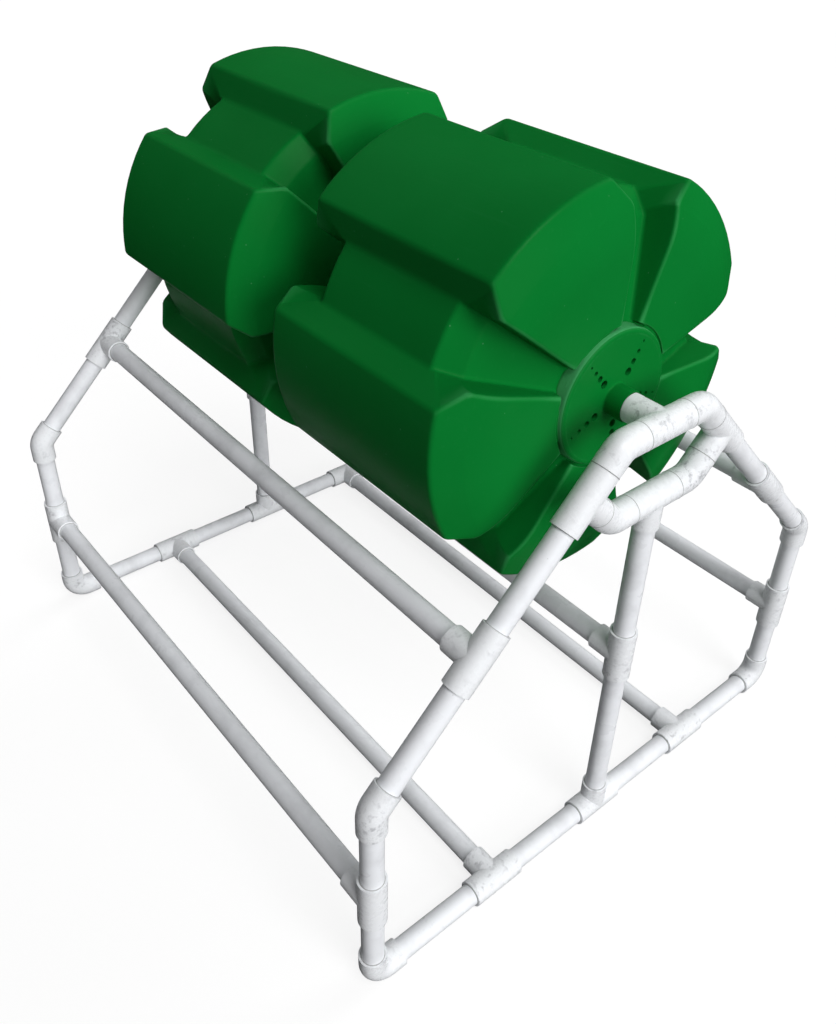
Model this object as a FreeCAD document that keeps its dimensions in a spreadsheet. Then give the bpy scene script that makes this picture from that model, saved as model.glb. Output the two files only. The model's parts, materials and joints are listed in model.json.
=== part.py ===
# Twin-drum compost tumbler on a stand of glued pipe and fittings, in millimetres.
# X runs along the axle, Y from the front legs to the rear legs, and Z up from the floor.
import FreeCAD, Part
import os
import Sketcher
from FreeCAD import Placement, Rotation, Vector

DIMENSIONS = {
    # Pipe and fittings; a reach runs from a fitting's centre to the face of its socket.
    "pipe_diameter": 33.4,
    "pipe_wall": 3.4,
    "fitting_diameter": 42,
    "branch_diameter": 41.6,
    "socket_diameter": 33.5,
    "socket_depth": 24,
    "tee_reach": 45.5,
    "elbow_reach": 36,
    "corner_reach": 47,
    "bend_radius": 28,
    # Stand, from centre line to centre line; rises are above the base pipes.
    "panel_gap": 1050,
    "leg_gap": 940,
    "leg_tee_rise": 185,
    "leg_elbow_rise": 372,
    "slope_tee_run": 230,
    "base_tee_offset": 234,
    "post_tee_rise": 353,
    # Drum; half lengths run along the axle from the middle of the drum.
    "drum_offset": 236,
    "drum_wall": 6,
    "lobe_count": 5,
    "lobe_radius": 295,
    "lobe_half_length": 201,
    "rim_half_length": 176,
    "dome_start": 235,
    "dome_rounding": 150,
    "rim_bevel": 7,
    "core_radius": 262,
    "core_half_length": 115,
    "shoulder_radius": 233,
    "shoulder_half_length": 144,
    "valley_end": 184,
    "disc_radius": 100,
    "disc_half_length": 206,
    "disc_channel": 5,
    "hub_diameter": 46,
    "hub_half_length": 234,
    "hub_bore": 33.56,
    # Groove between two lobes, as half widths at depths from the axle.
    "groove_root_depth": 60,
    "groove_root_half": 10.4,
    "groove_foot_depth": 258.5,
    "groove_foot_half": 44.6,
    "groove_flare_depth": 330,
    "groove_flare_half": 142,
    # Small six-sided vent holes in each end disc, in one row per lobe.
    "vent_turn": 106,
    "vent_first_radius": 40,
    "vent_spacing": 15,
    "vent_width": 9.5,
    "vent_shrink": 2,
    # Loading mouth, sliding door and rails on the outer face of one lobe.
    "mouth_start": 14,
    "mouth_length": 136,
    "mouth_half_width": 64,
    "door_start": 2,
    "door_length": 156,
    "door_gap": 0.4,
    "door_thickness": 3.2,
    "door_half_angle": 15.6,
    "grip_height": 13,
    "grip_thickness": 11,
    "grip_half_angle": 7,
    "rail_lip_angle": 13.8,
    "rail_slot_angle": 15.9,
    "rail_outer_angle": 18.8,
    "rail_slot_height": 4.2,
    "rail_height": 7,
    "rail_slot_length": 303.2,
    "rail_end": 7,
    "door_stop_gap": 0.6,
    # Drum angles as photographed, and the rings on the axle.
    "near_drum_turn": 241,
    "far_drum_turn": 287.3,
    "washer_thickness": 3,
    "collar_clearance": 0.4,
}

doc = FreeCAD.newDocument("compost_tumbler")
size = doc.addObject("Spreadsheet::Sheet", "size")
for row, (alias, number) in enumerate(DIMENSIONS.items(), start=1):
    size.set(f"A{row}", alias)
    size.set(f"B{row}", str(number))
    size.setAlias(f"B{row}", alias)
doc.recompute()

# Stations of the stand that follow from the driving dimensions.
BASE_Z = "size.fitting_diameter / 2"
LEG_Y = "size.leg_gap / 2"
LINK = "(size.tee_reach + size.elbow_reach)"
LINK_RISE = f"{LINK} * sin(45)"
SLOPE_SPAN = f"({LEG_Y} - {LINK})"
AXLE_Z = f"({BASE_Z} + size.leg_elbow_rise + {SLOPE_SPAN})"
TEE_FLOOR = "(size.tee_reach - size.socket_depth)"
ELBOW_FLOOR = "(size.elbow_reach - size.socket_depth)"
CORNER_FLOOR = "(size.corner_reach - size.socket_depth)"
CROSS_Z = f"({AXLE_Z} - 2 * {LINK_RISE})"

VENTS_IN_ROW = 4
BACK = Vector(0, 1, 0)
UP = Vector(0, 0, 1)


def evaluate(expression):
    return float(size.evalExpression(expression))


def bind(item, expressions):
    for path, expression in expressions.items():
        item.setExpression(path, expression)


def new_body(name):
    return doc.addObject("PartDesign::Body", name)


def origin_item(body, role):
    return next(item for item in body.Origin.OriginFeatures if item.Role == role)


def new_sketch(body, plane, name):
    sketch = body.newObject("Sketcher::SketchObject", f"{body.Name}_{name}")
    sketch.AttachmentSupport = [(origin_item(body, plane), "")]
    sketch.MapMode = "FlatFace"
    return sketch


def fix_point(sketch, geometry, point, across, up):
    """Hold a sketch point at two coordinates that follow the sheet."""
    for kind, axis, expression in (("DistanceX", -2, across), ("DistanceY", -1, up)):
        if expression == "0":
            sketch.addConstraint(Sketcher.Constraint("PointOnObject", geometry, point, axis))
            continue
        rule = Sketcher.Constraint(kind, -1, 1, geometry, point, evaluate(expression))
        index = sketch.addConstraint(rule)
        sketch.setExpression(f"Constraints[{index}]", expression)


def draw_outline(sketch, corners):
    """Draw a closed outline through corners given as pairs of expressions."""
    points = [Vector(evaluate(across), evaluate(up), 0) for across, up in corners]
    sides = [
        sketch.addGeometry(Part.LineSegment(start, end))
        for start, end in zip(points, points[1:] + points[:1])
    ]
    for side, after, (across, up) in zip(sides, sides[1:] + sides[:1], corners):
        sketch.addConstraint(Sketcher.Constraint("Coincident", side, 2, after, 1))
        fix_point(sketch, side, 1, across, up)


def draw_circle(sketch, diameter, across="0", up="0"):
    centre = Vector(evaluate(across), evaluate(up), 0)
    circle = sketch.addGeometry(Part.Circle(centre, UP, evaluate(diameter) / 2))
    index = sketch.addConstraint(Sketcher.Constraint("Diameter", circle, evaluate(diameter)))
    sketch.setExpression(f"Constraints[{index}]", diameter)
    fix_point(sketch, circle, 3, across, up)


def extrude(body, kind, sketch, length, **settings):
    feature = body.newObject(f"PartDesign::{kind}", f"{sketch.Name}_{kind.lower()}")
    feature.Profile = sketch
    feature.setExpression("Length", length)
    for name, setting in settings.items():
        setattr(feature, name, setting)
    return feature


def turn_about_axle(body, kind, sketch, half_angle="180"):
    """Turn a profile about the axle, the same angle to each side of its plane."""
    feature = body.newObject(f"PartDesign::{kind}", f"{sketch.Name}_{kind.lower()}")
    feature.Profile = sketch
    feature.ReferenceAxis = (sketch, ["H_Axis"])
    feature.Midplane = True
    feature.setExpression("Angle", f"2 * {half_angle}")
    return feature


def repeat_per_lobe(body, feature):
    pattern = body.newObject("PartDesign::PolarPattern", f"{feature.Name}_pattern")
    pattern.Originals = [feature]
    pattern.Axis = (origin_item(body, "X_Axis"), [""])
    pattern.setExpression("Occurrences", "size.lobe_count")
    body.Tip = pattern


def round_edges(body, feature, name, radius, edges):
    fillet = body.newObject("PartDesign::Fillet", f"{body.Name}_{name}")
    fillet.Base = (feature, edges)
    fillet.setExpression("Radius", radius)
    body.Tip = fillet


def ring_edges(feature, radius):
    """Names of the full-circle edges of one radius about the axle."""
    doc.recompute()
    return [
        f"Edge{number}"
        for number, edge in enumerate(feature.Shape.Edges, start=1)
        if isinstance(edge.Curve, Part.Circle) and abs(edge.Curve.Radius - radius) < 0.01
    ]


def pipe(name, length):
    """A length of pipe along X about the origin."""
    body = new_body(name)
    section = new_sketch(body, "YZ_Plane", "section")
    draw_circle(section, "size.pipe_diameter")
    draw_circle(section, "size.pipe_diameter - 2 * size.pipe_wall")
    extrude(body, "Pad", section, length, SideType="Symmetric")
    return body


def tee():
    """A tee with its run along X, bored through, and a branch socket that opens along +Z."""
    body = new_body("tee")
    run = new_sketch(body, "YZ_Plane", "run")
    draw_circle(run, "size.fitting_diameter")
    extrude(body, "Pad", run, "2 * size.tee_reach", SideType="Symmetric")
    branch = new_sketch(body, "XY_Plane", "branch")
    draw_circle(branch, "size.branch_diameter")
    extrude(body, "Pad", branch, "size.tee_reach")
    bore = new_sketch(body, "YZ_Plane", "bore")
    draw_circle(bore, "size.socket_diameter")
    extrude(body, "Pocket", bore, "2 * size.tee_reach", SideType="Symmetric")
    socket = new_sketch(body, "XY_Plane", "socket")
    socket.setExpression("AttachmentOffset.Base.z", "size.tee_reach")
    draw_circle(socket, "size.socket_diameter")
    extrude(body, "Pocket", socket, "size.socket_depth")
    return body


def elbow(name, turn, reach):
    """An elbow at the origin: one arm leaves along -X, the other is turned from +X towards +Z."""
    body = new_body(name)
    end_across = f"{reach} * cos({turn})"
    end_up = f"{reach} * sin({turn})"
    tangent = f"size.bend_radius * tan({turn} / 2)"

    path = new_sketch(body, "XZ_Plane", "path")
    start = Vector(-evaluate(reach), 0, 0)
    bend_start = Vector(-evaluate(tangent), 0, 0)
    bend_end = Vector(evaluate(f"{tangent} * cos({turn})"), evaluate(f"{tangent} * sin({turn})"), 0)
    bend_middle = Vector(evaluate(f"size.bend_radius * sin({turn} / 2) - {tangent}"), 0, 0)
    bend_middle.y = evaluate(f"size.bend_radius * (1 - cos({turn} / 2))")
    end = Vector(evaluate(end_across), evaluate(end_up), 0)
    path.addGeometry(Part.LineSegment(start, bend_start))
    path.addGeometry(Part.Arc(bend_start, bend_middle, bend_end))
    path.addGeometry(Part.LineSegment(bend_end, end))
    fix_point(path, 0, 1, f"-{reach}", "0")
    path.addConstraint(Sketcher.Constraint("PointOnObject", 0, 2, -1))
    path.addConstraint(Sketcher.Constraint("Tangent", 0, 2, 1, 1))
    path.addConstraint(Sketcher.Constraint("Tangent", 1, 2, 2, 1))
    radius = path.addConstraint(Sketcher.Constraint("Radius", 1, evaluate("size.bend_radius")))
    path.setExpression(f"Constraints[{radius}]", "size.bend_radius")
    fix_point(path, 2, 2, end_across, end_up)

    section = new_sketch(body, "YZ_Plane", "section")
    section.setExpression("AttachmentOffset.Base.z", f"-{reach}")
    draw_circle(section, "size.fitting_diameter")
    bend = body.newObject("PartDesign::AdditivePipe", f"{name}_bend")
    bend.Profile = section
    bend.Spine = (path, ["Edge1", "Edge2", "Edge3"])

    first = new_sketch(body, "YZ_Plane", "first_socket")
    first.setExpression("AttachmentOffset.Base.z", f"-{reach}")
    draw_circle(first, "size.socket_diameter")
    extrude(body, "Pocket", first, "size.socket_depth", Reversed=True)
    second = new_sketch(body, "XY_Plane", "second_socket")
    second.AttachmentOffset = Placement(Vector(), Rotation(BACK, 90 - turn))
    bind(second, {"AttachmentOffset.Base.x": end_across, "AttachmentOffset.Base.z": end_up})
    draw_circle(second, "size.socket_diameter")
    extrude(body, "Pocket", second, "size.socket_depth")
    return body


def lobed_form(name, inset, domed):
    """The drum's five-lobed form as a solid, every surface moved inwards by an inset."""
    body = new_body(name)

    blank = new_sketch(body, "XZ_Plane", "lobe_profile")
    face = f"size.lobe_half_length - {inset}"
    rim = f"size.rim_half_length - {inset}"
    top = f"size.lobe_radius - {inset}"
    right_side = [
        (face, "0"),
        (face, "size.dome_start"),
        (rim, f"{top} - size.rim_bevel"),
        (f"{rim} - size.rim_bevel", top),
    ]
    left_side = [(f"-({along})", radius) for along, radius in reversed(right_side)]
    draw_outline(blank, right_side + left_side)
    lobes = turn_about_axle(body, "Revolution", blank)
    if domed:
        dome = ring_edges(lobes, evaluate("size.dome_start"))
        round_edges(body, lobes, "dome", "size.dome_rounding", dome)

    groove = new_sketch(body, "YZ_Plane", "groove_profile")
    stations = (
        (f"size.groove_root_half + {inset}", f"size.groove_root_depth - {inset}"),
        (f"size.groove_foot_half + {inset}", f"size.groove_foot_depth - {inset}"),
        (f"size.groove_flare_half + {inset}", f"size.groove_flare_depth - {inset}"),
    )
    right_side = [(half, f"-({depth})") for half, depth in stations]
    left_side = [(f"-({half})", f"-({depth})") for half, depth in reversed(stations)]
    draw_outline(groove, right_side + left_side)
    cut = extrude(body, "Pocket", groove, "4 * size.lobe_half_length", SideType="Symmetric")
    repeat_per_lobe(body, cut)

    core = new_sketch(body, "XZ_Plane", "core_profile")
    right_side = [
        (f"size.disc_half_length - {inset}", "0"),
        (f"size.disc_half_length - {inset}", f"size.disc_radius - {inset}"),
        (f"size.valley_end - {inset}", f"size.disc_radius - {inset}"),
        (f"size.shoulder_half_length - {inset}", f"size.shoulder_radius - {inset} / 2"),
        (f"size.core_half_length - {inset} / 2", f"size.core_radius - {inset}"),
    ]
    left_side = [(f"-({along})", radius) for along, radius in reversed(right_side)]
    draw_outline(core, right_side + left_side)
    turn_about_axle(body, "Revolution", core)

    for end in (1, -1):
        channel = new_sketch(body, "XZ_Plane", f"channel_{'far' if end < 0 else 'near'}")
        floor = f"{end} * (size.valley_end - {inset})"
        clear = f"{end} * (size.disc_half_length + size.drum_wall)"
        inner = f"size.disc_radius - {inset}"
        outer = f"size.disc_radius + size.disc_channel + {inset}"
        draw_outline(channel, [(floor, inner), (clear, inner), (clear, outer), (floor, outer)])
        turn_about_axle(body, "Groove", channel)
    return body


def drum():
    """The moulded drum about its own middle, with the loading mouth on the lobe at +Z."""
    body = lobed_form("drum_outside", "0 * size.drum_wall", domed=True)
    hub = new_sketch(body, "YZ_Plane", "hub")
    draw_circle(hub, "size.hub_diameter")
    extrude(body, "Pad", hub, "2 * size.hub_half_length", SideType="Symmetric")
    bore = new_sketch(body, "YZ_Plane", "bore")
    draw_circle(bore, "size.hub_bore")
    extrude(body, "Pocket", bore, "2 * size.hub_half_length", SideType="Symmetric")

    mouth = new_sketch(body, "XY_Plane", "mouth")
    near_edge = "-size.mouth_start"
    far_edge = "-(size.mouth_start + size.mouth_length)"
    draw_outline(mouth, [
        (far_edge, "-size.mouth_half_width"),
        (near_edge, "-size.mouth_half_width"),
        (near_edge, "size.mouth_half_width"),
        (far_edge, "size.mouth_half_width"),
    ])
    extrude(body, "Pocket", mouth, "size.lobe_radius + size.drum_wall", Reversed=True)

    vents = new_sketch(body, "YZ_Plane", "vents")
    for step in range(VENTS_IN_ROW):
        out = f"(size.vent_first_radius + {step} * size.vent_spacing)"
        half = f"(size.vent_width - {step} * size.vent_shrink) / 2"
        draw_outline(vents, [
            (f"{out} * cos(size.vent_turn) + {half} * cos({corner})",
             f"{out} * sin(size.vent_turn) + {half} * sin({corner})")
            for corner in range(0, 360, 60)
        ])
    holes = extrude(body, "Pocket", vents, "2 * size.hub_half_length", SideType="Symmetric")
    repeat_per_lobe(body, holes)

    shell = doc.addObject("Part::Cut", "drum")
    shell.Base = body
    shell.Tool = lobed_form("drum_inside", "size.drum_wall", domed=False)
    return shell


def sliding_door():
    """A curved door plate with a finger grip, shut over the mouth of the lobe at +Z."""
    body = new_body("sliding_door")
    inner = "size.lobe_radius + size.door_gap"
    outer = f"{inner} + size.door_thickness"
    near_edge = "-size.door_start"
    far_edge = "-(size.door_start + size.door_length)"
    plate = new_sketch(body, "XZ_Plane", "plate")
    draw_outline(plate, [(far_edge, inner), (near_edge, inner), (near_edge, outer), (far_edge, outer)])
    turn_about_axle(body, "Revolution", plate, "size.door_half_angle")

    grip = new_sketch(body, "XZ_Plane", "grip")
    middle = "size.door_start + size.door_length / 2"
    near_edge = f"-({middle} - size.grip_thickness / 2)"
    far_edge = f"-({middle} + size.grip_thickness / 2)"
    root = f"{inner} + size.door_thickness / 2"
    top = f"{outer} + size.grip_height"
    draw_outline(grip, [(far_edge, root), (near_edge, root), (near_edge, top), (far_edge, top)])
    turn_about_axle(body, "Revolution", grip, "size.grip_half_angle")
    return body


def door_rails():
    """Two guide rails, one each side of the mouth; their closed ends stop the door."""
    body = new_body("rails")
    slot_start = "-(size.door_start + size.door_length + size.door_stop_gap)"
    slot_end = f"{slot_start} + size.rail_slot_length"
    start = f"{slot_start} - size.rail_end"
    end = f"{slot_end} + size.rail_end"
    seat = "size.lobe_radius"
    top = f"{seat} + size.rail_height"
    slot_top = f"{seat} + size.rail_slot_height"

    strip = new_sketch(body, "XZ_Plane", "strip")
    draw_outline(strip, [(start, seat), (end, seat), (end, top), (start, top)])
    turn_about_axle(body, "Revolution", strip, "size.rail_outer_angle")
    gap = new_sketch(body, "XZ_Plane", "gap")
    below = f"{seat} - size.drum_wall"
    above = f"{top} + size.drum_wall"
    before = f"{start} - size.rail_end"
    after = f"{end} + size.rail_end"
    draw_outline(gap, [(before, below), (after, below), (after, above), (before, above)])
    turn_about_axle(body, "Groove", gap, "size.rail_lip_angle")
    slot = new_sketch(body, "XZ_Plane", "slot")
    draw_outline(slot, [(slot_start, below), (slot_end, below), (slot_end, slot_top), (slot_start, slot_top)])
    turn_about_axle(body, "Groove", slot, "size.rail_slot_angle")
    return body


def axle_ring(name, length):
    """A ring on the axle about the origin, as wide across as a fitting."""
    body = new_body(name)
    section = new_sketch(body, "YZ_Plane", "section")
    draw_circle(section, "size.fitting_diameter")
    draw_circle(section, "size.socket_diameter")
    extrude(body, "Pad", section, length, SideType="Symmetric")
    return body


def aim(along, towards):
    """The turn that lays a piece's X along one direction and its Z towards another."""
    return Rotation(along, Vector(), towards, "XZY")


def place(master, turn, across="0", depth="0", height="0"):
    link = doc.addObject("App::Link", f"{master.Name}_placed")
    link.LinkedObject = master
    link.Placement = Placement(Vector(), turn)
    bind(link, {"Placement.Base.x": across, "Placement.Base.y": depth, "Placement.Base.z": height})
    return link


nodes = []


def add_node(label, pieces):
    node = doc.addObject("Part::Compound", label)
    node.Label = label
    node.Links = pieces
    nodes.append(node)


# One master of each fitting and of each length of pipe.
TEE = tee()
ELBOW = elbow("elbow", 45, "size.elbow_reach")
CORNER = elbow("corner", 90, "size.corner_reach")
CROSS_PIPE = pipe("cross_length", f"size.panel_gap - 2 * {TEE_FLOOR}")
BASE_PIPE = pipe("base_length", f"size.leg_gap - 2 * {CORNER_FLOOR}")
LEG_PIPE = pipe("leg_length", f"size.leg_elbow_rise - {CORNER_FLOOR} - {ELBOW_FLOOR}")
SLOPE_PIPE = pipe("slope_length", f"{SLOPE_SPAN} / cos(45) - 2 * {ELBOW_FLOOR}")
POST_PIPE = pipe("post_length", f"{CROSS_Z} - {BASE_Z} - 2 * {TEE_FLOOR}")
LONG_NIPPLE = pipe("long_nipple", f"2 * ({LINK} - {ELBOW_FLOOR})")
SHORT_NIPPLE = pipe("short_nipple", f"{LINK} - {TEE_FLOOR} - {ELBOW_FLOOR}")


def add_panel(label, side):
    """One end panel; side is 1 at the +X end of the axle and -1 at the other."""
    across = f"{side} * size.panel_gap / 2"
    inward = Vector(-side, 0, 0)
    fittings = {name: [] for name in (
        "corner_elbows", "leg_elbows", "top_elbows", "low_elbows",
        "base_tees", "leg_tees", "slope_tees", "ring_tees",
    )}
    pipes = {name: [] for name in ("leg_pipes", "slope_pipes", "ring_nipples")}

    for end in (-1, 1):
        to_centre = Vector(0, -end, 0)
        climb = to_centre + UP
        dive = to_centre - UP
        leg = f"{end} * {LEG_Y}"
        top = f"{end} * {LINK}"
        ring = f"{end} * ({LINK} + {LINK_RISE})"
        ring_height = f"{AXLE_Z} - {LINK_RISE}"
        elbow_height = f"{BASE_Z} + size.leg_elbow_rise"
        slope_tee = f"{end} * ({LEG_Y} - size.slope_tee_run * cos(45))"
        slope_tee_height = f"{elbow_height} + size.slope_tee_run * sin(45)"
        base_tee = f"{end} * size.base_tee_offset"
        leg_tee_height = f"{BASE_Z} + size.leg_tee_rise"

        for name, master, turn, depth, height in (
            ("corner_elbows", CORNER, aim(-to_centre, UP), leg, BASE_Z),
            ("leg_elbows", ELBOW, aim(UP, climb), leg, elbow_height),
            ("top_elbows", ELBOW, aim(climb, to_centre), top, AXLE_Z),
            ("low_elbows", ELBOW, aim(dive, to_centre), top, CROSS_Z),
            ("base_tees", TEE, aim(BACK, inward), base_tee, BASE_Z),
            ("leg_tees", TEE, aim(UP, inward), leg, leg_tee_height),
            ("slope_tees", TEE, aim(climb, inward), slope_tee, slope_tee_height),
            ("ring_tees", TEE, aim(climb, dive), ring, ring_height),
        ):
            fittings[name].append(place(master, turn, across, depth, height))

        leg_middle = f"{BASE_Z} + (size.leg_elbow_rise + {CORNER_FLOOR} - {ELBOW_FLOOR}) / 2"
        slope_middle = f"{end} * ({LEG_Y} + {LINK}) / 2"
        slope_middle_height = f"({elbow_height} + {AXLE_Z}) / 2"
        nipple = f"{ring} - {end} * size.tee_reach * cos(45)"
        nipple_height = f"{ring_height} - size.tee_reach * sin(45)"
        for name, master, turn, depth, height in (
            ("leg_pipes", LEG_PIPE, aim(UP, inward), leg, leg_middle),
            ("slope_pipes", SLOPE_PIPE, aim(climb, inward), slope_middle, slope_middle_height),
            ("ring_nipples", SHORT_NIPPLE, aim(dive, inward), nipple, nipple_height),
        ):
            pipes[name].append(place(master, turn, across, depth, height))

    fittings["base_tees"].append(place(TEE, aim(BACK, UP), across, "0", BASE_Z))
    fittings["axle_tee"] = [place(TEE, aim(BACK, inward), across, "0", AXLE_Z)]
    fittings["cross_tee"] = [place(TEE, aim(BACK, -UP), across, "0", CROSS_Z)]
    fittings["post_tee"] = [place(TEE, aim(UP, inward), across, "0", f"{BASE_Z} + size.post_tee_rise")]
    pipes["base_pipe"] = [place(BASE_PIPE, aim(BACK, UP), across, "0", BASE_Z)]
    pipes["post_pipe"] = [place(POST_PIPE, aim(UP, BACK), across, "0", f"({BASE_Z} + {CROSS_Z}) / 2")]
    for height in (AXLE_Z, CROSS_Z):
        pipes["ring_nipples"].append(place(LONG_NIPPLE, aim(BACK, UP), across, "0", height))

    for name, pieces in (fittings | pipes).items():
        add_node(f"{label}_{name}", pieces)


add_panel("near", 1)
add_panel("far", -1)

# Seven stringers tie the panels together, and the axle lies between the top tees.
ALONG = aim(Vector(1, 0, 0), UP)
SLOPE_TEE_Y = f"({LEG_Y} - size.slope_tee_run * cos(45))"
SLOPE_TEE_Z = f"{BASE_Z} + size.leg_elbow_rise + size.slope_tee_run * sin(45)"
for name, end in (("front", -1), ("rear", 1)):
    add_node(f"{name}_base_stringer", [place(CROSS_PIPE, ALONG, "0", f"{end} * size.base_tee_offset", BASE_Z)])
    leg_tee_height = f"{BASE_Z} + size.leg_tee_rise"
    add_node(f"{name}_low_stringer", [place(CROSS_PIPE, ALONG, "0", f"{end} * {LEG_Y}", leg_tee_height)])
    add_node(f"{name}_high_stringer", [place(CROSS_PIPE, ALONG, "0", f"{end} * {SLOPE_TEE_Y}", SLOPE_TEE_Z)])
add_node("centre_stringer", [place(CROSS_PIPE, ALONG, "0", "0", f"{BASE_Z} + size.post_tee_rise")])
add_node("axle_pipe", [place(CROSS_PIPE, ALONG, "0", "0", AXLE_Z)])

# Rings on the axle keep the hubs off the tees and off each other.
HUB_END = "(size.drum_offset + size.hub_half_length)"
TEE_FACE = "(size.panel_gap / 2 - size.tee_reach)"
COLLAR = axle_ring("collar", f"{TEE_FACE} - {HUB_END} - size.collar_clearance")
WASHER = axle_ring("washer", "size.washer_thickness")
collar_middle = f"({TEE_FACE} - ({TEE_FACE} - {HUB_END} - size.collar_clearance) / 2)"
add_node("axle_collars", [place(COLLAR, ALONG, f"{side} * {collar_middle}", "0", AXLE_Z) for side in (1, -1)])
add_node("thrust_washer", [place(WASHER, ALONG, "0", "0", AXLE_Z)])

# Both drums are one moulding, each with its door and rails, turned as photographed.
DRUM = drum()
DOOR = sliding_door()
RAILS = door_rails()
ABOUT_AXLE = Rotation(Vector(1, 0, 0), 1)
for label, side in (("near", 1), ("far", -1)):
    for name, master in (("drum", DRUM), ("door", DOOR), ("door_rails", RAILS)):
        piece = place(master, ABOUT_AXLE, f"{side} * size.drum_offset", "0", AXLE_Z)
        piece.setExpression("Placement.Rotation.Angle", f"size.{label}_drum_turn")
        add_node(f"{label}_{name}", [piece])

doc.recompute()
for item in doc.Objects:
    if "Invalid" in item.State or "Error" in item.State:
        raise RuntimeError(f"{item.Label} failed to build")
for node in nodes:
    if node.Shape.isNull() or not node.Shape.isValid():
        raise RuntimeError(f"{node.Label} has no valid shape")

os.makedirs("parts", exist_ok=True)
for node in nodes:
    node.Shape.exportStep(f"parts/{node.Label}.step")
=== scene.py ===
import json
import math

import bmesh
import bpy
from mathutils import Matrix, Vector


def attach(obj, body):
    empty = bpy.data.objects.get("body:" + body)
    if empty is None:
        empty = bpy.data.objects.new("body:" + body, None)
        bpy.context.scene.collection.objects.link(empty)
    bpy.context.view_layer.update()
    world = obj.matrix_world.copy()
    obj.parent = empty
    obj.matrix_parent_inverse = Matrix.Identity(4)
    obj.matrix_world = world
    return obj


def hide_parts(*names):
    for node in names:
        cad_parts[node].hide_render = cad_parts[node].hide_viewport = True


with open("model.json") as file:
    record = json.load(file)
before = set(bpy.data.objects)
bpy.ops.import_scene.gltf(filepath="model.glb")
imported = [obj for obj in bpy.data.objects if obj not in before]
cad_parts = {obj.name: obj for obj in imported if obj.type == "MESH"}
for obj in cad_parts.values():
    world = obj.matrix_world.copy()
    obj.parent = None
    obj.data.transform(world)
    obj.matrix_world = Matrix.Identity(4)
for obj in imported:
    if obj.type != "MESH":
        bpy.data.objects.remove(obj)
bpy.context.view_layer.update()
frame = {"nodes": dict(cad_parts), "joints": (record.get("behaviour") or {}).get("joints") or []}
nodes = frame["nodes"]


# Pipe of the stand and the axle: extruded rigid PVC, 33.4 mm across, sawn to length and
# glued into the fittings. The axle's two collars are rings with the same skin.
PANELS = ("near", "far")
PIPES = ["axle_pipe", "centre_stringer"]
PIPES += [f"{side}_{height}_stringer" for side in ("front", "rear") for height in ("base", "low", "high")]
PIPES += [f"{panel}_{run}" for panel in PANELS
          for run in ("base_pipe", "leg_pipes", "slope_pipes", "ring_nipples", "post_pipe")]
PVC_IOR = 1.53
MM = 0.001


def linear(code):
    """An sRGB hex colour as the shader's linear red, green, blue and alpha."""
    parts = [int(code[i:i + 2], 16) / 255 for i in (1, 3, 5)]
    return [p / 12.92 if p <= 0.04045 else ((p + 0.055) / 1.055) ** 2.4 for p in parts] + [1]


def add(tree, kind, inputs, result=0, **settings):
    """Adds a shader node and gives back one of its outputs. Sockets go by number, name or identifier,
    and an input takes a number, a colour or the output of another node."""
    node = tree.nodes.new("ShaderNode" + kind)
    for name, value in settings.items():
        setattr(node, name, value)

    def pick(sockets, wanted):
        return [s for i, s in enumerate(sockets) if wanted in (i, s.name, s.identifier)][0]

    for name, value in inputs.items():
        if isinstance(value, bpy.types.NodeSocket):
            tree.links.new(value, pick(node.inputs, name))
        else:
            pick(node.inputs, name).default_value = value
    return pick(node.outputs, result) if node.outputs else None


def new_material(name):
    """An empty node material, its tree, and the object coordinates that its patterns use."""
    material = bpy.data.materials.new(name)
    material.use_nodes = True
    tree = material.node_tree
    tree.nodes.clear()
    return material, tree, add(tree, "TexCoord", {}, "Object")


def dress(name, material):
    """Gives a CAD node its material."""
    nodes[name].data.materials.clear()
    nodes[name].data.materials.append(material)


# Extruded PVC: a bright white skin that looks slightly blue in shade, with soft grey smears
# about 60 mm long. Its specks of dirt are drawn 2 mm wide, coarser than real dust, to show.
SMEAR_LENGTH = 60 * MM
DIRT_SPACING = 22 * MM
pipe_pvc, tree, where = new_material("extruded_white_pvc")
smear = add(tree, "TexNoise", {"Vector": where, "Scale": 1 / SMEAR_LENGTH, "Detail": 4.0, "Roughness": 0.6})
smear_part = add(tree, "MapRange", {"Value": smear, "From Min": 0.50, "From Max": 0.78, "To Max": 0.38})
speck = add(tree, "TexVoronoi", {"Vector": where, "Scale": 1 / DIRT_SPACING})
speck_part = add(tree, "MapRange", {"Value": speck, "From Min": 0.05, "From Max": 0.02, "To Max": 0.30})
white = add(tree, "Mix", {"Factor": smear_part, "A_Color": linear("#f1f3f7"), "B_Color": linear("#b6b7bb")},
            "Result_Color", data_type="RGBA")
white = add(tree, "Mix", {"Factor": speck_part, "A_Color": white, "B_Color": linear("#77736b")},
            "Result_Color", data_type="RGBA")
gloss = add(tree, "MapRange", {"Value": smear, "From Min": 0.3, "From Max": 0.7,
                               "To Min": 0.24, "To Max": 0.40})
skin = add(tree, "BsdfPrincipled", {"Base Color": white, "Roughness": gloss, "IOR": PVC_IOR})
add(tree, "OutputMaterial", {"Surface": skin})

for name in PIPES:
    dress(name, pipe_pvc)
dress("axle_collars", pipe_pvc)


# Fittings: injection-moulded PVC tees and elbows with a socket at each end, glued to the pipes.
# The moulded skin is dirtier than the pipe, because the stand is held and glued there.
FITTINGS = [f"{panel}_{fitting}" for panel in PANELS
            for fitting in ("corner_elbows", "leg_elbows", "top_elbows", "low_elbows", "base_tees",
                            "leg_tees", "slope_tees", "ring_tees", "axle_tee", "cross_tee", "post_tee")]

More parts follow.
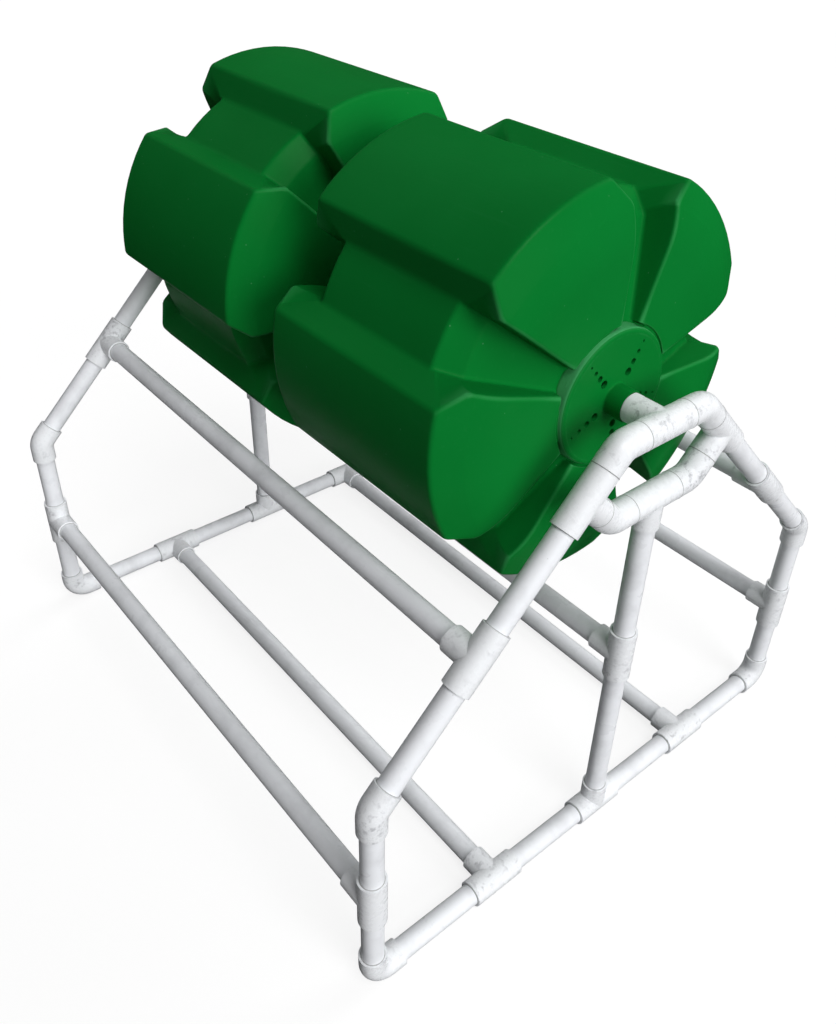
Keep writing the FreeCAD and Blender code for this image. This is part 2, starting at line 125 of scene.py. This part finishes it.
# Moulded PVC: a glossy white skin, very slightly wavy, with patches about 90 mm wide in which
# grey dirt sits in flecks of some 10 mm.
FLECK_WIDTH = 10 * MM
PATCH_WIDTH = 90 * MM
fitting_pvc, tree, where = new_material("moulded_white_pvc")
fleck = add(tree, "TexNoise", {"Vector": where, "Scale": 1 / FLECK_WIDTH, "Detail": 4.0, "Roughness": 0.65})
fleck_part = add(tree, "MapRange", {"Value": fleck, "From Min": 0.50, "From Max": 0.68, "To Max": 0.75})
patch = add(tree, "TexNoise", {"Vector": where, "Scale": 1 / PATCH_WIDTH, "Detail": 2.0})
patch_part = add(tree, "MapRange", {"Value": patch, "From Min": 0.42, "From Max": 0.62})
dirt = add(tree, "Math", {0: fleck_part, 1: patch_part}, operation="MULTIPLY")
white = add(tree, "Mix", {"Factor": dirt, "A_Color": linear("#f1f3f6"), "B_Color": linear("#a4a5aa")},
            "Result_Color", data_type="RGBA")
ripple = add(tree, "Bump", {"Height": patch, "Strength": 0.15, "Distance": 0.6 * MM})
gloss = add(tree, "MapRange", {"Value": fleck, "From Min": 0.3, "From Max": 0.7,
                               "To Min": 0.20, "To Max": 0.38})
skin = add(tree, "BsdfPrincipled", {"Base Color": white, "Roughness": gloss, "IOR": PVC_IOR,
                                    "Normal": ripple})
add(tree, "OutputMaterial", {"Surface": skin})

for name in FITTINGS:
    dress(name, fitting_pvc)


# Glue lines: solvent cement squeezed out where a pipe enters a socket, or between two fittings
# that meet mouth to mouth. A bead of about 1 mm, laid on the flat ring of each socket's mouth.
BEAD_RADIUS = 0.8 * MM
PIPE_BEAD_RING = 17.1 * MM
SEAM_BEAD_RING = 20.6 * MM
MOUTH_LEAST_AREA = 470 * MM ** 2
MOUTH_MOST_AREA = 520 * MM ** 2
MEETING_GAP = 2 * MM
SAME_FACING = 0.9999
SMOOTH_BELOW = 40


def flat_rings(obj, smallest, largest):
    """Centre and facing of each flat face of a mesh whose area is in the given range."""
    mesh = bmesh.new()
    mesh.from_mesh(obj.data)
    bmesh.ops.dissolve_limit(mesh, angle_limit=0.001, verts=mesh.verts, edges=mesh.edges)
    mesh.faces.index_update()
    seen, found = set(), []
    for first in mesh.faces:
        if first.index in seen:
            continue
        seen.add(first.index)
        island, reached = [], [first]
        while reached:
            face = reached.pop()
            island.append(face)
            for edge in face.edges:
                for other in edge.link_faces:
                    if other.index not in seen and other.normal.dot(face.normal) > SAME_FACING:
                        seen.add(other.index)
                        reached.append(other)
        if smallest < sum(face.calc_area() for face in island) < largest:
            corners = [v.co for face in island for v in face.verts]
            low = Vector([min(corner[i] for corner in corners) for i in range(3)])
            high = Vector([max(corner[i] for corner in corners) for i in range(3)])
            found.append(((low + high) / 2, first.normal.copy()))
    mesh.free()
    return found


def add_bead(mesh, centre, axis, ring, around=40, section=8):
    """A bead of round section laid in a ring about an axis."""
    turn = axis.to_track_quat("Z", "Y").to_matrix()
    loops = []
    for i in range(around):
        turned = 2 * math.pi * i / around
        loop = []
        for j in range(section):
            rolled = 2 * math.pi * j / section
            out = ring + BEAD_RADIUS * math.cos(rolled)
            point = Vector((out * math.cos(turned), out * math.sin(turned), BEAD_RADIUS * math.sin(rolled)))
            loop.append(mesh.verts.new(centre + turn @ point))
        loops.append(loop)
    for i in range(around):
        for j in range(section):
            following, beside = loops[(i + 1) % around], (j + 1) % section
            mesh.faces.new((loops[i][j], following[j], following[beside], loops[i][beside]))


def new_piece(name, mesh, material, smooth_below=SMOOTH_BELOW):
    """An object from a bmesh, smooth except at edges sharper than the given angle."""
    data = bpy.data.meshes.new(name)
    mesh.to_mesh(data)
    mesh.free()
    data.polygons.foreach_set("use_smooth", [True] * len(data.polygons))
    data.set_sharp_from_angle(angle=math.radians(smooth_below))
    data.materials.append(material)
    piece = bpy.data.objects.new(name, data)
    bpy.context.scene.collection.objects.link(piece)
    return piece


# Dried cement: a thin matt grey line that has picked up dust, uneven every 12 mm or so.
UNEVEN_LENGTH = 12 * MM
cement, tree, where = new_material("dried_solvent_cement")
uneven = add(tree, "TexNoise", {"Vector": where, "Scale": 1 / UNEVEN_LENGTH, "Detail": 3.0})
grey = add(tree, "Mix", {"Factor": uneven, "A_Color": linear("#8b8c8c"), "B_Color": linear("#c6c7c7")},
           "Result_Color", data_type="RGBA")
skin = add(tree, "BsdfPrincipled", {"Base Color": grey, "Roughness": 0.55, "IOR": 1.45})
add(tree, "OutputMaterial", {"Surface": skin})

mouths = []
for name in FITTINGS:
    mouths += flat_rings(nodes[name], MOUTH_LEAST_AREA, MOUTH_MOST_AREA)
beads = bmesh.new()
for centre, axis in mouths:
    meeting = sum((centre - other).length < MEETING_GAP for other, facing in mouths) > 1
    add_bead(beads, centre, axis, SEAM_BEAD_RING if meeting else PIPE_BEAD_RING)
glue_lines = new_piece("glue_lines", beads, cement)
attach(glue_lines, "stand")


# Drums: five-lobed hollow mouldings, rotationally moulded in green polyethylene with a 6 mm
# wall. Each mould edge is rounded, and the end discs are drilled with rows of vent holes.
# Sizes are in mm: along the axle from the drum's middle, out from the axle, and angles in degrees.
WALL = 6.0
LOBES = 5
PITCH = 360.0 / LOBES
LOBE_RADIUS = 295.0
LOBE_END = 201.0
LOBE_EDGE = 6.5
CORE_RADIUS = 262.0
CORE_MATCH = 100.0
VALLEY_EDGE = 6.0
MOST_EDGE_SHARE = 0.42
MOST_FOOT_SHARE = 0.3
CHANNEL_RADIUS = 105.0
CHANNEL_LOOPS = (102.5, 100.4)
DISC_RADIUS = 100.0
DISC_FACE = 206.0
HUB_RADIUS = 23.0
HUB_END = 234.0
MOUTH_ANGLE = 12.5
MOUTH_FAR = 150.0
MOUTH_NEAR = 14.0
MOUTH_COLUMNS = 3
VENT_TURN = 16.0
VENT_SIDES = 16
LEAST_ROW_SHARE = 0.003
DRUM_TURNS = {"near": 241.0, "far": 287.3}

# A groove's side as (across, out) from the groove's middle: where it starts and the way it flares.
GROOVE_FOOT = Vector((44.6, 258.5))
GROOVE_FLARE = Vector((97.4, 71.5))

# The vents of one row, as (out, width).
VENTS = [(40.0, 12.0), (55.0, 9.3), (70.0, 6.6), (85.0, 3.9)]

# Outlines of half a drum, as corners of (along, out, rounding).
LOBE_OUTLINE = [(198, CHANNEL_RADIUS, 0), (LOBE_END, CHANNEL_RADIUS, 2), (LOBE_END, 140, 0),
                (LOBE_END, 170, 0), (LOBE_END, 235, 150), (172.7, LOBE_RADIUS, 9),
                (MOUTH_FAR, LOBE_RADIUS, 0)]
VALLEY_OUTLINE = [(182.5, CHANNEL_RADIUS, 0), (144, 233, 14), (115, CORE_RADIUS, 10),
                  (CORE_MATCH, CORE_RADIUS, 0)]
RIM_OUTLINE = [(200, DISC_RADIUS, 0), (DISC_FACE, DISC_RADIUS, 6), (DISC_FACE, 93, 0)]
HUB_OUTLINE = [(DISC_FACE, 30, 0), (DISC_FACE, HUB_RADIUS, 3), (232.6, HUB_RADIUS, 0), (HUB_END, 22.2, 0)]


def curve(start, corner, end, steps):
    """Points from a start to an end on a curve that the lines to a corner touch."""
    shares = [k / steps for k in range(steps + 1)]
    return [(1 - t) ** 2 * start + 2 * t * (1 - t) * corner + t * t * end for t in shares]


def rounded_path(corners, steps):
    """Points along a chain of (along, out, rounding) corners, with each corner rounded."""
    points = []
    for i, (along, out, radius) in enumerate(corners):
        here = Vector((along, out))
        if radius == 0:
            points.append(here)
            continue
        before = (Vector(corners[i - 1][:2]) - here).normalized()
        after = (Vector(corners[i + 1][:2]) - here).normalized()
        reach = radius / math.tan(before.angle(after) / 2)
        points += curve(here + reach * before, here, here + reach * after, steps)
    return points


def fractions(path):
    """The share of a path's length at which each of its points lies."""
    lengths = [(b - a).length for a, b in zip(path, path[1:])]
    return [sum(lengths[:i]) / sum(lengths) for i in range(len(path))]


def at_fraction(path, fraction):
    """The point at a share of a path's length."""
    lengths = [(b - a).length for a, b in zip(path, path[1:])]
    left = fraction * sum(lengths)
    for a, b, length in zip(path, path[1:], lengths):
        if left <= length:
            return a.lerp(b, left / length)
        left -= length
    return path[-1].copy()


def lobe_half_angle(out):
    """Half of the angle that a lobe takes at a distance from the axle: it narrows at the top."""
    point = GROOVE_FOOT
    if out > GROOVE_FOOT.length:
        flare = GROOVE_FLARE.normalized()
        lean = GROOVE_FOOT.dot(flare)
        climb = math.sqrt(lean * lean - GROOVE_FOOT.length_squared + out * out) - lean
        point = GROOVE_FOOT + flare * climb
    return PITCH / 2 - math.degrees(math.atan2(*point))


def in_space(along, out, angle):
    """A point of the drum from its place along the axle, distance from it and angle."""
    turned = math.radians(angle)
    return Vector((along, out * math.cos(turned), out * math.sin(turned)))


def half_section(lobe, valley):
    """Points from the middle of a lobe to the middle of the next valley, each given as (along, out).
    The lobe's edge and the valley's foot are rounded, less where the lobe is low."""
    rise = (in_space(*lobe, 0) - in_space(*valley, 0)).length
    edge = min(LOBE_EDGE, MOST_EDGE_SHARE * rise)
    foot = min(VALLEY_EDGE, MOST_FOOT_SHARE * rise)
    flat_end = lobe_half_angle(lobe[1]) - math.degrees(edge / lobe[1])
    floor = lobe_half_angle(valley[1]) + math.degrees(foot / valley[1])

    def side(share):
        along = lobe[0] + (valley[0] - lobe[0]) * share
        out = lobe[1] + (valley[1] - lobe[1]) * share
        return in_space(along, out, lobe_half_angle(out))

    points = [in_space(*lobe, MOUTH_ANGLE * k / MOUTH_COLUMNS) for k in range(MOUTH_COLUMNS + 1)]
    points.append(in_space(*lobe, (MOUTH_ANGLE + flat_end) / 2))
    points += curve(in_space(*lobe, flat_end), side(0), side(edge / rise), 4)
    points.append(side(0.5))
    points += curve(side(1 - foot / rise), side(1), in_space(*valley, floor), 3)
    points.append(in_space(*valley, (floor + PITCH / 2) / 2))
    points.append(in_space(*valley, PITCH / 2))
    return points


def drum_rows():
    """Matching points of the lobe's outline and the valley's, from one end of the drum to the other."""
    lobe_path = rounded_path(LOBE_OUTLINE, 6)
    valley_path = rounded_path(VALLEY_OUTLINE, 4)
    shares = []
    for share in sorted(fractions(lobe_path) + fractions(valley_path)):
        if not shares or share - shares[-1] > LEAST_ROW_SHARE:
            shares.append(share)
    rows = [(tuple(at_fraction(lobe_path, s)), tuple(at_fraction(valley_path, s))) for s in shares]
    for along in ((MOUTH_FAR + MOUTH_NEAR) / 2, MOUTH_NEAR):
        rows.append(((along, LOBE_RADIUS), (along * CORE_MATCH / MOUTH_FAR, CORE_RADIUS)))
    return rows + [((-lobe[0], lobe[1]), (-valley[0], valley[1])) for lobe, valley in reversed(rows)]


def drum_mesh():
    """The drum's outer skin about its own middle, with the mouth on the lobe at +Z."""
    mesh = bmesh.new()

    def ring(points):
        return [mesh.verts.new(MM * p) for p in points]

    def join(one, two, keep=lambda column: True):
        for i in range(len(one)):
            j = (i + 1) % len(one)
            if keep(i):
                mesh.faces.new((one[i], two[i], two[j], one[j]))

    rings, stations = [], []
    for lobe, valley in drum_rows():
        half = half_section(lobe, valley)
        other = [Vector((p.x, p.y, -p.z)) for p in half[-2:0:-1]]
        points = []
        for k in range(LOBES):
            turn = Matrix.Rotation(math.radians(90 + PITCH * k), 3, "X")
            points += [turn @ p for p in other + half]
        rings.append(ring(points))
        stations.append(lobe[0])
    columns = len(rings[0]) // LOBES
    middle = columns // 2 - 1
    for i in range(len(rings) - 1):
        at_mouth = -MOUTH_FAR <= stations[i + 1] and stations[i] <= -MOUTH_NEAR
        join(rings[i], rings[i + 1],
             lambda c: not (at_mouth and -MOUTH_COLUMNS <= c - middle < MOUTH_COLUMNS))

    angles = [90 + (c - middle) * 360 / (LOBES * columns) for c in range(LOBES * columns)]
    rim, hub = rounded_path(RIM_OUTLINE, 5), rounded_path(HUB_OUTLINE, 4)
    for end, outer in ((1, rings[0]), (-1, rings[-1])):
        floors = [vertex.co.x / MM for vertex in outer]
        rim_loops, hub_loops = [outer], []
        for out in CHANNEL_LOOPS:
            rim_loops.append(ring([in_space(floor, out, a) for floor, a in zip(floors, angles)]))
        for loops, path in ((rim_loops, rim), (hub_loops, hub)):
            for along, out in path:
                loops.append(ring([in_space(end * along, out, a) for a in angles]))
            for one, two in zip(loops, loops[1:]):
                join(*((two, one) if end > 0 else (one, two)))
        borders = [rim_loops[-1], hub_loops[0]]
        for k in range(LOBES):
            for out, width in VENTS:
                centre = in_space(end * DISC_FACE, out, 90 + VENT_TURN + PITCH * k)
                borders.append(ring([centre + in_space(0, width / 2, 360 / VENT_SIDES * c)
                                     for c in range(VENT_SIDES)]))
        edges = []
        for loop in borders:
            for a, b in zip(loop, loop[1:] + loop[:1]):
                edges.append(mesh.edges.get((a, b)) or mesh.edges.new((a, b)))
        bmesh.ops.triangle_fill(mesh, use_beauty=True, edges=edges, normal=(end, 0, 0))
    return mesh


def apply_modifiers(piece):
    """Makes the mesh that a piece's modifiers give its own."""
    made = bpy.data.meshes.new_from_object(piece.evaluated_get(bpy.context.evaluated_depsgraph_get()))
    piece.modifiers.clear()
    piece.data = made


# Rotomoulded polyethylene: a deep leaf green with a dull satin skin, faintly mottled from the
# mould. Handling leaves paler rub marks along the drum. The edges where the skin is bent get a
# painted highlight, a paler green, but the flat of the end discs does not. Its orange peel and its
# specks are drawn 5 mm and 2 mm wide, coarser than the real ones, to show.
PE_IOR = 1.51
MOTTLE_WIDTH = 180 * MM
RUB_LENGTH = 90 * MM
RUB_WIDTH = 6 * MM
SPECK_SPACING = 30 * MM
DISC_FLAT = 91 * MM
DISC_RIM = 95 * MM
PEEL_WIDTH = 5 * MM
spins = {joint["name"]: joint["pos_m"] for joint in frame["joints"] if joint["name"].endswith("_drum_spin")}
axle_place = spins["near_drum_spin"]
green_pe, tree, where = new_material("rotomoulded_green_polyethylene")
mottle = add(tree, "TexNoise", {"Vector": where, "Scale": 1 / MOTTLE_WIDTH, "Detail": 3.0})
green = add(tree, "Mix", {"Factor": mottle, "A_Color": linear("#066c26"), "B_Color": linear("#09792f")},
            "Result_Color", data_type="RGBA")
along_drum = add(tree, "Mapping", {"Vector": where, "Scale": (1 / RUB_LENGTH, 1 / RUB_WIDTH, 1 / RUB_WIDTH)})
rub = add(tree, "TexNoise", {"Vector": along_drum, "Scale": 1.0, "Detail": 3.0})
rub_part = add(tree, "MapRange", {"Value": rub, "From Min": 0.62, "From Max": 0.80, "To Max": 0.07})
green = add(tree, "Mix", {"Factor": rub_part, "A_Color": green, "B_Color": linear("#3c9159")},
            "Result_Color", data_type="RGBA")
speck = add(tree, "TexVoronoi", {"Vector": where, "Scale": 1 / SPECK_SPACING})
speck_part = add(tree, "MapRange", {"Value": speck, "From Min": 0.045, "From Max": 0.02, "To Max": 0.35})
green = add(tree, "Mix", {"Factor": speck_part, "A_Color": green, "B_Color": linear("#6fae84")},
            "Result_Color", data_type="RGBA")
# Painted highlight: edges where the skin bends are made a paler green, standing in for light shining on
# them.
bent = add(tree, "NewGeometry", {}, "Pointiness")
bend_highlight = add(tree, "MapRange", {"Value": bent, "From Min": 0.525, "From Max": 0.58, "To Max": 0.7})
from_axle = add(tree, "Mapping", {"Vector": where, "Location": (0, -axle_place[1], -axle_place[2]),
                                  "Scale": (0, 1, 1)})
away = add(tree, "VectorMath", {0: from_axle}, "Value", operation="LENGTH")
off_disc = add(tree, "MapRange", {"Value": away, "From Min": DISC_FLAT, "From Max": DISC_RIM})
painted_edge_highlight = add(tree, "Math", {0: bend_highlight, 1: off_disc}, operation="MULTIPLY")
green = add(tree, "Mix", {"Factor": painted_edge_highlight, "A_Color": green, "B_Color": linear("#50b070")},
            "Result_Color", data_type="RGBA")
peel = add(tree, "TexNoise", {"Vector": where, "Scale": 1 / PEEL_WIDTH, "Detail": 2.0})
bumps = add(tree, "Bump", {"Height": peel, "Strength": 0.12, "Distance": 0.8 * MM})
gloss = add(tree, "MapRange", {"Value": mottle, "From Min": 0.3, "From Max": 0.7,
                               "To Min": 0.32, "To Max": 0.40})
skin = add(tree, "BsdfPrincipled", {"Base Color": green, "Roughness": gloss, "IOR": PE_IOR,
                                    "Specular IOR Level": 0.05, "Normal": bumps})
add(tree, "OutputMaterial", {"Surface": skin})

drum_places = {}
for panel in PANELS:
    turn = Matrix.Rotation(math.radians(DRUM_TURNS[panel]), 4, "X")
    drum_places[panel] = Matrix.Translation(spins[f"{panel}_drum_spin"]) @ turn
    drum = new_piece(f"{panel}_drum_moulding", drum_mesh(), green_pe)
    wall = drum.modifiers.new("moulded_wall", "SOLIDIFY")
    wall.thickness = MM * WALL
    wall.offset = -1
    apply_modifiers(drum)
    drum.data.set_sharp_from_angle(angle=math.radians(SMOOTH_BELOW))
    crisp = drum.modifiers.new("crisp_edges", "WEIGHTED_NORMAL")
    crisp.weight = 90
    crisp.keep_sharp = True
    apply_modifiers(drum)
    drum.data.transform(drum_places[panel])
    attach(drum, f"{panel}_drum_body")
    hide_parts(f"{panel}_drum")


# Doors and their rails: sheets of the same green polyethylene, moulded smoother than the drum.
# The rails are screwed to the lobe, and the door slides under their lips along the drum.

# Moulded polyethylene: the same green a little darker, with soft flow marks about 50 mm long.
FLOW_LENGTH = 50 * MM
smooth_pe, tree, where = new_material("moulded_green_polyethylene")
flow = add(tree, "TexNoise", {"Vector": where, "Scale": 1 / FLOW_LENGTH, "Detail": 3.0})
green = add(tree, "Mix", {"Factor": flow, "A_Color": linear("#0a5c25"), "B_Color": linear("#0f7032")},
            "Result_Color", data_type="RGBA")
gloss = add(tree, "MapRange", {"Value": flow, "From Min": 0.3, "From Max": 0.7,
                               "To Min": 0.28, "To Max": 0.40})
skin = add(tree, "BsdfPrincipled", {"Base Color": green, "Roughness": gloss, "IOR": PE_IOR,
                                    "Specular IOR Level": 0.1})
add(tree, "OutputMaterial", {"Surface": skin})
for panel in PANELS:
    dress(f"{panel}_door", smooth_pe)
    dress(f"{panel}_door_rails", smooth_pe)


# Rail screws: stainless pan-head screws, three to a rail, driven through the rail into the lobe.
# Each head is turned round with a cross recess pressed into its top. Sizes are in mm.
SCREW_ANGLE = 17.3
SCREW_STATIONS = (-152.0, -7.0, 138.0)
RAIL_TOP = 302.0
HEAD_SIDES = 24
HEAD_HEIGHT = 2.6
HEAD_PROFILE = [(4.5, 0.0), (4.5, 0.9), (4.1, 1.8), (3.3, 2.4), (2.4, HEAD_HEIGHT)]
RECESS_DEPTH = 1.4
RECESS = [(2.0, 0.4), (0.4, 0.4), (0.4, 2.0), (-0.4, 2.0), (-0.4, 0.4), (-2.0, 0.4),
          (-2.0, -0.4), (-0.4, -0.4), (-0.4, -2.0), (0.4, -2.0), (0.4, -0.4), (2.0, -0.4)]


def add_screw(mesh, foot, out, along):
    """A pan head with a cross recess, standing on its foot."""
    beside = out.cross(along)
    loops = []
    for radius, height in HEAD_PROFILE:
        loop = []
        for k in range(HEAD_SIDES):
            turned = math.radians(360 / HEAD_SIDES * k)
            place = radius * math.cos(turned) * along + radius * math.sin(turned) * beside + height * out
            loop.append(mesh.verts.new(foot + MM * place))
        loops.append(loop)
    for low, high in zip(loops, loops[1:]):
        for k in range(HEAD_SIDES):
            j = (k + 1) % HEAD_SIDES
            mesh.faces.new((low[k], low[j], high[j], high[k]))
    cross = []
    for x, y in RECESS:
        top = foot + MM * (x * along + y * beside + HEAD_HEIGHT * out)
        cross.append((mesh.verts.new(top), mesh.verts.new(top - MM * RECESS_DEPTH * out)))
    rim = [mesh.edges.get((a, b)) for a, b in zip(loops[-1], loops[-1][1:] + loops[-1][:1])]
    for (a, low_a), (b, low_b) in zip(cross, cross[1:] + cross[:1]):
        rim.append(mesh.edges.new((a, b)))
        mesh.faces.new((b, a, low_a, low_b))
    mesh.faces.new([low for top, low in cross])
    bmesh.ops.triangle_fill(mesh, use_beauty=True, edges=rim, normal=out)


# Stainless steel: grey metal with a slightly rough shine. Its brush marks are drawn 2 mm wide,
# coarser than the real ones, to show.
BRUSH_WIDTH = 2 * MM
steel, tree, where = new_material("stainless_steel")
brushed = add(tree, "TexNoise", {"Vector": where, "Scale": 1 / BRUSH_WIDTH, "Detail": 2.0})
gloss = add(tree, "MapRange", {"Value": brushed, "To Min": 0.25, "To Max": 0.42})
skin = add(tree, "BsdfPrincipled", {"Base Color": linear("#c3c2bf"), "Metallic": 1.0, "Roughness": gloss})
add(tree, "OutputMaterial", {"Surface": skin})
for panel in PANELS:
    screws = bmesh.new()
    for angle in (90 - SCREW_ANGLE, 90 + SCREW_ANGLE):
        for station in SCREW_STATIONS:
            foot = MM * in_space(station, RAIL_TOP, angle)
            add_screw(screws, foot, in_space(0, 1, angle), Vector((1, 0, 0)))
    rail_screws = new_piece(f"{panel}_rail_screws", screws, steel, smooth_below=35)
    rail_screws.data.transform(drum_places[panel])
    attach(rail_screws, f"{panel}_drum_body")


# Thrust washer: a turned nylon ring that keeps the two hubs apart on the axle.
# It sits loose on the pipe between the drums.

# Nylon: an ivory skin, cloudy from the lathe every 4 mm or so.
CLOUD_WIDTH = 4 * MM
nylon, tree, where = new_material("natural_nylon")
cloud = add(tree, "TexNoise", {"Vector": where, "Scale": 1 / CLOUD_WIDTH, "Detail": 2.0})
ivory = add(tree, "Mix", {"Factor": cloud, "A_Color": linear("#d9d4c4"), "B_Color": linear("#e8e4d8")},
            "Result_Color", data_type="RGBA")
skin = add(tree, "BsdfPrincipled", {"Base Color": ivory, "Roughness": 0.42, "IOR": 1.53})
add(tree, "OutputMaterial", {"Surface": skin})
dress("thrust_washer", nylon)


# Studio floor: a sheet of matt white paper. It is lifted to white for the camera alone, so that
# the object's soft shadow stays and no extra light reaches the object.
FLOOR_HALF_WIDTH = 30.0
CLOUDING_WIDTH = 400 * MM
CAMERA_LIFT = 0.82
paper, tree, where = new_material("white_paper")
camera_ray = add(tree, "LightPath", {}, "Is Camera Ray")
glossy_ray = add(tree, "LightPath", {}, "Is Glossy Ray")
clouding = add(tree, "TexNoise", {"Vector": where, "Scale": 1 / CLOUDING_WIDTH})
tone = add(tree, "Mix", {"Factor": clouding, "A_Color": linear("#828282"), "B_Color": linear("#868686")},
           "Result_Color", data_type="RGBA")
tone = add(tree, "Mix", {"Factor": glossy_ray, "A_Color": tone, "B_Color": linear("#161616")},
           "Result_Color", data_type="RGBA")
matt = add(tree, "BsdfDiffuse", {"Color": tone})
lift = add(tree, "Math", {0: camera_ray, 1: CAMERA_LIFT}, operation="MULTIPLY")
glow = add(tree, "Emission", {"Strength": lift})
both = add(tree, "AddShader", {0: matt, 1: glow})
add(tree, "OutputMaterial", {"Surface": both})
sheet = bmesh.new()
bmesh.ops.create_grid(sheet, x_segments=8, y_segments=8, size=FLOOR_HALF_WIDTH)
floor = new_piece("floor", sheet, paper)


# Light: a broad key lamp above the near end, a low one beside it, one from the rear and one from
# the far end, with a dim sky that fills the shade. The camera sees the sky as white.
SKY_FILL = 0.07
SKY_IN_GLOSS = 0.03
world = bpy.data.worlds.new("pale_sky")
bpy.context.scene.world = world
world.use_nodes = True
tree = world.node_tree
tree.nodes.clear()
camera_ray = add(tree, "LightPath", {}, "Is Camera Ray")
glossy_ray = add(tree, "LightPath", {}, "Is Glossy Ray")
fill = add(tree, "MapRange", {"Value": glossy_ray, "To Min": SKY_FILL, "To Max": SKY_IN_GLOSS})
seen = add(tree, "Math", {0: camera_ray, 1: 1.0, 2: fill}, operation="MULTIPLY_ADD")
sky = add(tree, "Background", {"Color": linear("#ffffff"), "Strength": seen})
add(tree, "OutputWorld", {"Surface": sky})


def add_lamp(name, towards, strength, spread, mirrored):
    """A far lamp, given by the direction from the object to it, and whether gloss shows it."""
    lamp = bpy.data.lights.new(name, "SUN")
    lamp.energy = strength
    lamp.angle = math.radians(spread)
    sun = bpy.data.objects.new(name, lamp)
    sun.rotation_euler = Vector(towards).to_track_quat("Z", "Y").to_euler()
    sun.visible_glossy = mirrored
    bpy.context.scene.collection.objects.link(sun)


add_lamp("key_light", (0.55, -0.08, 0.84), strength=1.25, spread=30, mirrored=True)
add_lamp("side_light", (1.0, -0.04, 0.26), strength=2.30, spread=40, mirrored=False)
add_lamp("rear_light", (0.0, 0.80, 0.60), strength=1.20, spread=40, mirrored=False)
add_lamp("far_light", (-0.9, 0.25, 0.15), strength=1.00, spread=60, mirrored=False)


# Camera: it stands where the photograph was taken from, in front of the near end and above it.
# Place, turn, lens and shift are fitted to the corners and elbows of the stand.
CAMERA_PLACE = (1.12801, -0.91495, 1.43424)
right = Vector((0.645876, 0.762691, 0.033864))
down = Vector((0.445615, -0.340604, -0.827899))
turn = Matrix((right, -down, right.cross(-down))).transposed()
camera = bpy.data.objects.new("camera", bpy.data.cameras.new("camera"))
camera.data.lens = 34.05
camera.data.shift_x = -0.0218
camera.data.shift_y = -0.0546
camera.matrix_world = Matrix.Translation(CAMERA_PLACE) @ turn.to_4x4()
bpy.context.scene.collection.objects.link(camera)
bpy.context.scene.camera = camera
bpy.context.scene.view_settings.view_transform = "Standard"
